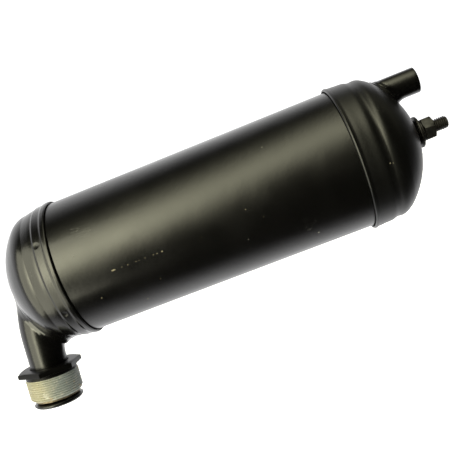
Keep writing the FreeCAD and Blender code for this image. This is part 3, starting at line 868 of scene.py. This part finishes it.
def make_nut():
    angles = around(180)
    half, corner = STUD_NUT_HALF, STUD_NUT_HALF / math.cos(math.pi / 6)
    side = hex_radius(angles, half, STUD_NUT_TURN)
    low, high = nut_low[0], nut_high[0]
    slope = 0.6 / (corner - half)
    rise = (side - half) * slope
    shoulder = half + (side - half) * 0.9
    bore, bevel = 4.05, 4.6
    rows = [(low + 0.5, bore), (low, bevel), (low, half - 0.2), (low + rise * 0.9 + 0.02, shoulder),
            (low + rise + 0.12, side), (high - rise - 0.12, side), (high - rise * 0.9 - 0.02, shoulder),
            (high, half - 0.2), (high, bevel), (high - 0.5, bore)]
    grid = [MAIN.at(x, r, angles) for x, r in rows]
    shape = Shape().grid(np.array(grid), close_rows=True)
    return build("stud_nut_skin", shape, "stud_nut", ["stud_nut"], nut_steel, 28.0)


def make_flat_washer():
    (low, _, _), (high, _, _) = mm_box("flat_washer")
    outline = rounded([(low, WASHER_BORE, 0), (low, 10.0, 0.35), (high, 10.0, 0.5),
                       (high, WASHER_BORE, 0.2), (low, WASHER_BORE, 0)])[:-1]
    shape = Shape().turn(MAIN, outline, around(112))
    return build("flat_washer_skin", shape, "washers", ["flat_washer"], washer_steel)


def make_spring_washer():
    """Split ring whose ends stand a little apart along the stud."""
    (low, _, _), (high, _, _) = mm_box("spring_washer")
    gap = math.radians(8.0)
    angles = math.pi / 2 + np.linspace(gap / 2, TAU - gap / 2, 110)
    slant = 0.22 * np.linspace(-1, 1, len(angles))
    low, high = low + 0.24, high - 0.24             # room for the slant
    outline = rounded([(low, WASHER_BORE, 0), (low, 7.0, 0.3), (high, 7.0, 0.3),
                       (high, WASHER_BORE, 0.2), (low, WASHER_BORE, 0)])[:-1]
    grid = MAIN.at(outline[:, :1] + slant[None, :], outline[:, 1:2], angles[None, :])
    middle = grid.mean(axis=0)
    shape = Shape().grid(grid, close_rows=True, close_columns=False)
    for column in (0, -1):
        cap = np.stack((grid[:, column], np.repeat(middle[None, column], len(grid), 0)))
        shape.grid(cap)
    return build("spring_washer_skin", shape, "washers", ["spring_washer"], washer_steel)


HIDDEN_NODES = {"outlet_cap_braze_ring": braze, "stud_cap_braze_ring": braze, "outlet_face_seal": seal_rubber,
                "stud_backing_plate": bare_steel, "suction_screen": bare_steel, "return_baffle": bare_steel,
                "return_diffuser": bare_steel}


def finish_hidden_nodes():
    """Give each carried-over CAD node its material."""
    for node, material in HIDDEN_NODES.items():
        for entry in frame["nodes"][node].material_slots:
            entry.material = material


make_shell()
make_out_cap()
make_stud_cap()
make_pipe()
make_outlet_weld()
make_union_hex()
make_union_thread()
make_thrust_ring()
make_stub()
make_stub_weld()
make_boss()
make_stud()
make_nut()
make_flat_washer()
make_spring_washer()
finish_hidden_nodes()


# ---- floor, light and camera --------------------------------------------------------------------
WHITE = rgb(1.0, 1.0, 1.0)
FLOOR_LOW, FLOOR_HIGH = rgb(0.90, 0.90, 0.895), rgb(0.93, 0.93, 0.925)
FLOOR_HALF = 9.0
FLOOR_PLACE = (-0.15, 0.0, -0.30)
FLOOR_GLOW = 0.9
FRAME_SIZE = 452.0              # the frame's width and height
CAMERA_LENS = 52.8705
CAMERA_SHIFT = (36.0, 14.0)     # in the same units as the frame's size
CAMERA_PLACE = (-0.120232, -0.425753, 0.012578)
CAMERA_TURN = (86.57440, 21.49117, 5.39743)
SHELL_MIDDLE = ((OUT_LIP + STUD_LIP) / 2 * MM, 0.0, 0.0)


def make_floor():
    """Wide pale floor with a faint grain."""
    g = Graph("floor_paper")
    colour = g.mix(g.noise(3.0, 2.0), FLOOR_LOW, FLOOR_HIGH)
    material = g.done(colour, 0.9, g.bump(g.noise(400.0, 3.0), 0.05, 0.0005), specular=0.2)
    g.shader.inputs["Emission Color"].default_value = WHITE
    g.shader.inputs["Emission Strength"].default_value = FLOOR_GLOW
    work = bmesh.new()
    bmesh.ops.create_grid(work, x_segments=24, y_segments=24, size=FLOOR_HALF)
    mesh = bpy.data.meshes.new("floor")
    work.to_mesh(mesh)
    work.free()
    mesh.materials.append(material)
    floor = bpy.data.objects.new("floor", mesh)
    floor.location = FLOOR_PLACE
    floor.visible_glossy = False
    floor.visible_shadow = False
    bpy.context.scene.collection.objects.link(floor)


def make_camera():
    data = bpy.data.cameras.new("camera")
    data.sensor_width = 36.0
    data.lens = CAMERA_LENS
    data.shift_x, data.shift_y = CAMERA_SHIFT[0] / FRAME_SIZE, CAMERA_SHIFT[1] / FRAME_SIZE
    data.clip_start = 0.01
    camera = bpy.data.objects.new("camera", data)
    camera.location = CAMERA_PLACE
    camera.rotation_euler = [math.radians(a) for a in CAMERA_TURN]
    bpy.context.scene.collection.objects.link(camera)
    bpy.context.scene.camera = camera


def softbox(name, centre, target, size_x, size_y, radiance, colour, glossy=True):
    """Rectangular light that faces a target."""
    data = bpy.data.lights.new(name, "AREA")
    data.shape = "RECTANGLE"
    data.size, data.size_y = size_x, size_y
    data.energy = radiance * math.pi * size_x * size_y
    data.color = colour
    lamp = bpy.data.objects.new(name, data)
    lamp.location = centre
    lamp.rotation_euler = (Vector(target) - Vector(centre)).to_track_quat("-Z", "Y").to_euler()
    lamp.visible_camera = False
    lamp.visible_glossy = glossy
    bpy.context.scene.collection.objects.link(lamp)


ROOM_BRIGHTEST = (-0.50, 0.856, -0.13)  # direction in which the surroundings are brightest
ROOM_DIM, ROOM_BRIGHT = 0.006, 1.30
BAND_COLOUR = rgb(1.0, 0.975, 0.70)
BAND_HEIGHT = 0.70              # height over the horizon, in radians, where x is 0
BAND_SLANT = 1.45               # how that height changes with x
BAND_BELOW = 0.30               # how far below its middle the band is half as bright
BAND_ABOVE = 0.38               # and above it
BAND_LEFT, BAND_RIGHT = 9.0, 4.5        # brightness at its two ends


def make_world():
    """White surroundings, brighter behind and below the object than on the side it is seen from, and a soft
    slanting band of warm light above and in front of it."""
    world = bpy.data.worlds.new("studio")
    world.use_nodes = True
    tree = world.node_tree

    def node(kind, operation, *values):
        made = tree.nodes.new(kind)
        made.operation = operation
        for socket, value in zip(made.inputs, values):
            if hasattr(value, "is_output"):
                tree.links.new(value, socket)
            else:
                socket.default_value = value
        return made.outputs["Value"]

    def number(operation, *values):
        return node("ShaderNodeMath", operation, *values)

    def eased(value, low, high, out_low, out_high):
        made = tree.nodes.new("ShaderNodeMapRange")
        made.interpolation_type = "SMOOTHSTEP"
        tree.links.new(value, made.inputs["Value"])
        for key, amount in (("From Min", low), ("From Max", high), ("To Min", out_low), ("To Max", out_high)):
            made.inputs[key].default_value = amount
        return made.outputs[0]

    direction = tree.nodes.new("ShaderNodeTexCoord").outputs["Generated"]
    seen = tree.nodes.new("ShaderNodeLightPath").outputs["Is Camera Ray"]
    facing = node("ShaderNodeVectorMath", "DOT_PRODUCT", direction, ROOM_BRIGHTEST)
    room = number("MAXIMUM", eased(facing, 0.0, 0.64, ROOM_DIM, ROOM_BRIGHT), seen)

    split = tree.nodes.new("ShaderNodeSeparateXYZ")
    tree.links.new(direction, split.inputs[0])
    x, y, z = split.outputs
    height = number("ARCTAN2", z, number("MULTIPLY", y, -1.0))
    slanted = number("SUBTRACT", height, number("ADD", number("MULTIPLY", x, BAND_SLANT), BAND_HEIGHT))
    below = number("DIVIDE", number("MINIMUM", slanted, 0.0), BAND_BELOW)
    above = number("DIVIDE", number("MAXIMUM", slanted, 0.0), BAND_ABOVE)
    spread = number("ADD", number("MULTIPLY", below, below), number("MULTIPLY", above, above))
    band = number("POWER", 0.5, spread)
    band = number("MULTIPLY", band, eased(x, -0.26, 0.0, BAND_LEFT, BAND_RIGHT))
    band = number("MULTIPLY", band, eased(x, -0.62, -0.36, 0.0, 1.0))
    band = number("MULTIPLY", band, eased(x, 0.18, 0.42, 1.0, 0.05))
    band = number("MULTIPLY", band, number("SUBTRACT", 1.0, seen))

    white = tree.nodes["Background"]
    white.inputs["Color"].default_value = WHITE
    tree.links.new(room, white.inputs["Strength"])
    warm = tree.nodes.new("ShaderNodeBackground")
    warm.inputs["Color"].default_value = BAND_COLOUR
    tree.links.new(band, warm.inputs["Strength"])
    both = tree.nodes.new("ShaderNodeAddShader")
    tree.links.new(white.outputs[0], both.inputs[0])
    tree.links.new(warm.outputs[0], both.inputs[1])
    tree.links.new(both.outputs[0], tree.nodes["World Output"].inputs["Surface"])
    bpy.context.scene.world = world


make_camera()
make_floor()
softbox("left", (-1.07, -0.78, 0.0), (-0.27, 0.0, -0.03), 1.05, 2.6, 3.7, (1.0, 0.98, 0.76))
softbox("overhead", (-0.15, 0.1, 1.6), SHELL_MIDDLE, 3.0, 3.0, 1.4, (1.0, 1.0, 1.0), glossy=False)
make_world()
bpy.context.scene.view_settings.view_transform = "Standard"
